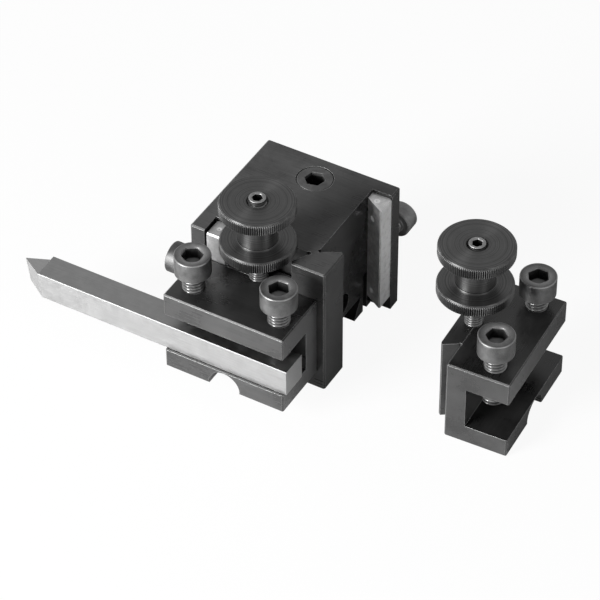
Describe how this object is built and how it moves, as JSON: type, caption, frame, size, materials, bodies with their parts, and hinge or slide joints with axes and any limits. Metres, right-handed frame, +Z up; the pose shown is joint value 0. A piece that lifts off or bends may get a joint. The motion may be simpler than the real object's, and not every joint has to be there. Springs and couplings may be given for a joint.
{
  "type": "lathe multi-tool holder",
  "caption": "Small square quick-change lathe tool post with two dovetail stations, a tool holder with a tool bit on one station and a spare tool holder beside it.",
  "frame": {"origin": "centre of the post's underside, on the middle of the dovetail channel", "axes": "+X to the right along the tool bit, whose point is at -X, and out of the open side station; -Y out of the front station; +Z up"},
  "size_m": [0.1368, 0.066, 0.0574],
  "materials": {
    "black_steel": "blackened, ground",
    "screw_steel": "blackened, satin",
    "bright_steel": "bright, ground",
    "tool_steel": "ground"
  },
  "bodies": {
    "post": {"post_body": "black_steel"},
    "base_clamp_screw": {"base_clamp_screw": "screw_steel"},
    "side_gib": {"side_gib": "bright_steel", "side_gib_lower_pin": "bright_steel", "side_gib_upper_pin": "bright_steel"},
    "side_gib_screw": {"side_gib_screw": "screw_steel"},
    "front_gib": {"front_gib": "bright_steel", "front_gib_lower_pin": "bright_steel", "front_gib_upper_pin": "bright_steel"},
    "front_gib_screw": {"front_gib_screw": "screw_steel"},
    "holder": {"holder_body": "black_steel", "holder_stud": "bright_steel"},
    "height_nut": {"holder_height_nut": "black_steel"},
    "lock_nut": {"holder_lock_nut": "black_steel"},
    "left_screw": {"holder_left_screw": "screw_steel"},
    "right_screw": {"holder_right_screw": "screw_steel"},
    "tool_bit": {"tool_bit": "tool_steel"},
    "spare": {"spare_body": "black_steel", "spare_stud": "bright_steel"},
    "spare_height_nut": {"spare_height_nut": "black_steel"},
    "spare_lock_nut": {"spare_lock_nut": "black_steel"},
    "spare_near_screw": {"spare_near_screw": "screw_steel"},
    "spare_far_screw": {"spare_far_screw": "screw_steel"}
  },
  "joints": [
    {"name": "side_gib_slide", "type": "slide", "parent": "post", "child": "side_gib", "axis": [0, -1, 0], "range_m": [0, 0.0016]},
    {"name": "side_gib_screw_turn", "type": "hinge", "parent": "side_gib", "child": "side_gib_screw", "pos_m": [0.0166, 0.022, 0.023], "axis": [0, -1, 0], "range_deg": [0, 721]},
    {"name": "front_gib_slide", "type": "slide", "parent": "post", "child": "front_gib", "axis": [-1, 0, 0], "range_m": [0, 0.0005]},
    {"name": "front_gib_screw_turn", "type": "hinge", "parent": "front_gib", "child": "front_gib_screw", "pos_m": [-0.022, -0.0166, 0.023], "axis": [-1, 0, 0], "range_deg": [0, 226]},
    {"name": "base_screw_turn", "type": "hinge", "parent": "post", "child": "base_clamp_screw", "pos_m": [-0.0011, 0.0118, 0.03], "axis": [0, 0, 1], "range_deg": [0, 360]},
    {"name": "holder_lift", "type": "slide", "parent": "post", "child": "holder", "axis": [0, 0, 1], "range_m": [0, 0.04]},
    {"name": "height_nut_turn", "type": "hinge", "parent": "holder", "child": "height_nut", "pos_m": [0.00005, -0.0193, 0.042], "axis": [0, 0, 1], "continuous": true},
    {"name": "lock_nut_turn", "type": "hinge", "parent": "holder", "child": "lock_nut", "pos_m": [0.00005, -0.0193, 0.05], "axis": [0, 0, 1], "continuous": true},
    {"name": "left_screw_turn", "type": "hinge", "parent": "holder", "child": "left_screw", "pos_m": [-0.0124, -0.0311, 0.03], "axis": [0, 0, 1], "range_deg": [0, 1080]},
    {"name": "right_screw_turn", "type": "hinge", "parent": "holder", "child": "right_screw", "pos_m": [0.01305, -0.0311, 0.03], "axis": [0, 0, 1], "range_deg": [0, 1080]},
    {"name": "tool_slide", "type": "slide", "parent": "holder", "child": "tool_bit", "axis": [-1, 0, 0], "range_m": [-0.01, 0.02]},
    {"name": "spare_lift", "type": "slide", "parent": "post", "child": "spare", "axis": [0, 0, 1], "range_m": [0, 0.06]},
    {"name": "spare_height_nut_turn", "type": "hinge", "parent": "spare", "child": "spare_height_nut", "pos_m": [0.05347, -0.00156, 0.037], "axis": [0, 0, 1], "continuous": true},
    {"name": "spare_lock_nut_turn", "type": "hinge", "parent": "spare", "child": "spare_lock_nut", "pos_m": [0.05347, -0.00156, 0.045], "axis": [0, 0, 1], "continuous": true},
    {"name": "spare_near_screw_turn", "type": "hinge", "parent": "spare", "child": "spare_near_screw", "pos_m": [0.06583, -0.01346, 0.025], "axis": [0, 0, 1], "continuous": true},
    {"name": "spare_far_screw_turn", "type": "hinge", "parent": "spare", "child": "spare_far_screw", "pos_m": [0.06467, 0.01196, 0.025], "axis": [0, 0, 1], "continuous": true}
  ],
  "couplings": [
    {"joint": "side_gib_screw_turn", "follows": "side_gib_slide", "rad_per_m": 7854},
    {"joint": "front_gib_screw_turn", "follows": "front_gib_slide", "rad_per_m": 7854}
  ]
}
